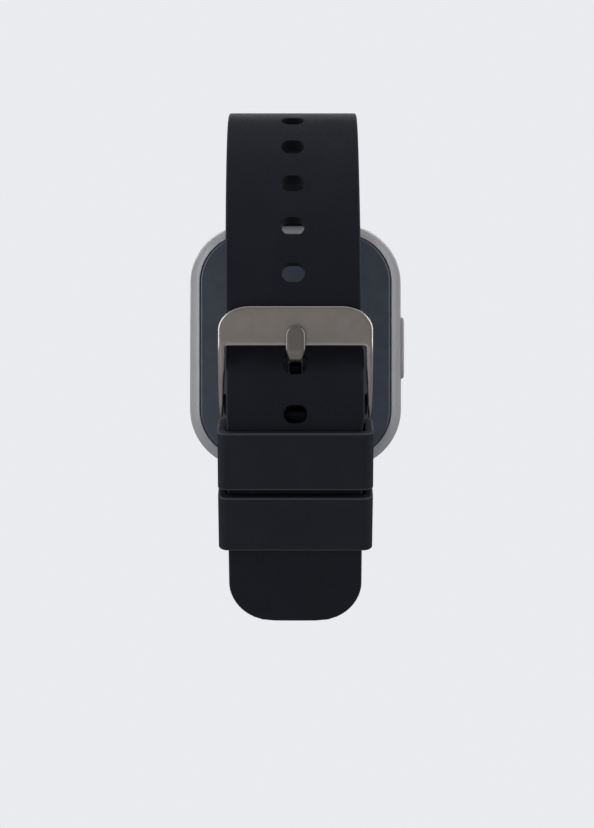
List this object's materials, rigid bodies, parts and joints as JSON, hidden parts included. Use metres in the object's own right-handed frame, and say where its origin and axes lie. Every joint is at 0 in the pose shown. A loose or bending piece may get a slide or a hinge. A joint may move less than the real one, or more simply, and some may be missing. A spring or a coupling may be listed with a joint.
{
  "type": "smartwatch",
  "caption": "Smartwatch with a rounded square case, optical sensor back, side button and a buckled silicone strap with keeper loops.",
  "frame": {"origin": "centre of the outer face of the optical sensor window, where the watch rests on the wrist", "axes": "+Y out through the display, +X towards the side button, +Z towards the lug of the holed strap"},
  "size_m": [0.0375, 0.0669, 0.079],
  "materials": {
    "case": "satin moulded grey",
    "button": "satin warm grey",
    "back_cover": "fine matt slate",
    "sensor_window": "gloss black",
    "display_glass": "gloss black cover lens",
    "silicone": "matt moulded silicone",
    "buckle": "satin gunmetal",
    "steel": "plain",
    "contact": "gold plated",
    "rotor": "sintered",
    "circuit_board": "solder mask",
    "chip": "moulded black",
    "battery": "foil wrap",
    "inner_frame": "moulded",
    "seal": "matt",
    "led": "clear lens"
  },
  "bodies": {
    "case": {"mid_case": "case", "display_glass": "display_glass", "display_gasket": "seal", "display_panel": "chip", "back_cover": "back_cover", "back_gasket": "seal", "sensor_window": "sensor_window", "sensor_board": "circuit_board", "sensor_led_left": "led", "sensor_led_right": "led", "photodiode": "chip", "charge_contact_left": "contact", "charge_contact_right": "contact", "inner_frame": "inner_frame", "battery": "battery", "main_board": "circuit_board", "processor_shield": "steel", "board_screw_1": "steel", "board_screw_2": "steel", "speaker": "chip", "microphone": "contact", "motor_can": "steel", "motor_cover": "steel", "motor_shaft": "steel", "button_seal": "seal", "side_switch": "chip"},
    "motor_rotor": {"motor_rotor": "rotor"},
    "button": {"button_cap": "button", "button_clip": "steel"},
    "long_strap": {"long_strap": "silicone", "upper_bar_tube": "steel", "upper_bar_spring": "steel"},
    "upper_pin_left": {"upper_bar_pin_left": "steel"},
    "upper_pin_right": {"upper_bar_pin_right": "steel"},
    "short_strap": {"short_strap": "silicone", "lower_bar_tube": "steel", "lower_bar_spring": "steel"},
    "lower_pin_left": {"lower_bar_pin_left": "steel"},
    "lower_pin_right": {"lower_bar_pin_right": "steel"},
    "keeper_upper": {"keeper_upper": "silicone"},
    "keeper_lower": {"keeper_lower": "silicone"},
    "buckle": {"buckle_frame": "buckle", "buckle_bar": "steel"},
    "tongue": {"buckle_tongue": "buckle"}
  },
  "joints": [
    {"name": "strap_open", "type": "hinge", "parent": "case", "child": "long_strap", "pos_m": [0, 0.0058, 0.0194], "axis": [-1, 0, 0], "range_deg": [0, 28], "deforming": ["long_strap"]},
    {"name": "short_strap_open", "type": "hinge", "parent": "case", "child": "short_strap", "pos_m": [0, 0.0058, -0.0194], "axis": [1, 0, 0], "range_deg": [0, 28]},
    {"name": "buckle_swing", "type": "hinge", "parent": "short_strap", "child": "buckle", "pos_m": [0, -0.05, -0.0083], "axis": [1, 0, 0], "range_deg": [0, 28]},
    {"name": "tongue_lift", "type": "hinge", "parent": "buckle", "child": "tongue", "pos_m": [0, -0.05, -0.0083], "axis": [1, 0, 0], "range_deg": [0, 42]},
    {"name": "keeper_upper_slide", "type": "slide", "parent": "short_strap", "child": "keeper_upper", "axis": [0, -0.2656, 0.9641], "range_m": [0, 0.0006]},
    {"name": "keeper_lower_slide", "type": "slide", "parent": "short_strap", "child": "keeper_lower", "axis": [0, -0.3891, 0.9212], "range_m": [-0.0006, 0]},
    {"name": "button_press", "type": "slide", "parent": "case", "child": "button", "axis": [-1, 0, 0], "range_m": [0, 0.0004], "stiffness_N_per_m": 2500, "springref_m": -0.0002},
    {"name": "upper_pin_left_press", "type": "slide", "parent": "long_strap", "child": "upper_pin_left", "axis": [1, 0, 0], "range_m": [0, 0.0012], "stiffness_N_per_m": 800, "springref_m": -0.001, "deforming": ["upper_bar_spring"]},
    {"name": "upper_pin_right_press", "type": "slide", "parent": "long_strap", "child": "upper_pin_right", "axis": [-1, 0, 0], "range_m": [0, 0.0012], "stiffness_N_per_m": 800, "springref_m": -0.001, "deforming": ["upper_bar_spring"]},
    {"name": "lower_pin_left_press", "type": "slide", "parent": "short_strap", "child": "lower_pin_left", "axis": [1, 0, 0], "range_m": [0, 0.0012], "stiffness_N_per_m": 800, "springref_m": -0.001, "deforming": ["lower_bar_spring"]},
    {"name": "lower_pin_right_press", "type": "slide", "parent": "short_strap", "child": "lower_pin_right", "axis": [-1, 0, 0], "range_m": [0, 0.0012], "stiffness_N_per_m": 800, "springref_m": -0.001, "deforming": ["lower_bar_spring"]},
    {"name": "motor_spin", "type": "hinge", "parent": "case", "child": "motor_rotor", "pos_m": [0.0092, 0.0037, 0.009], "axis": [0, 1, 0], "continuous": true}
  ],
  "couplings": [
    {"joint": "short_strap_open", "follows": "strap_open", "ratio": 1},
    {"joint": "buckle_swing", "follows": "strap_open", "ratio": 1},
    {"joint": "tongue_lift", "follows": "strap_open", "ratio": 1.5}
  ]
}
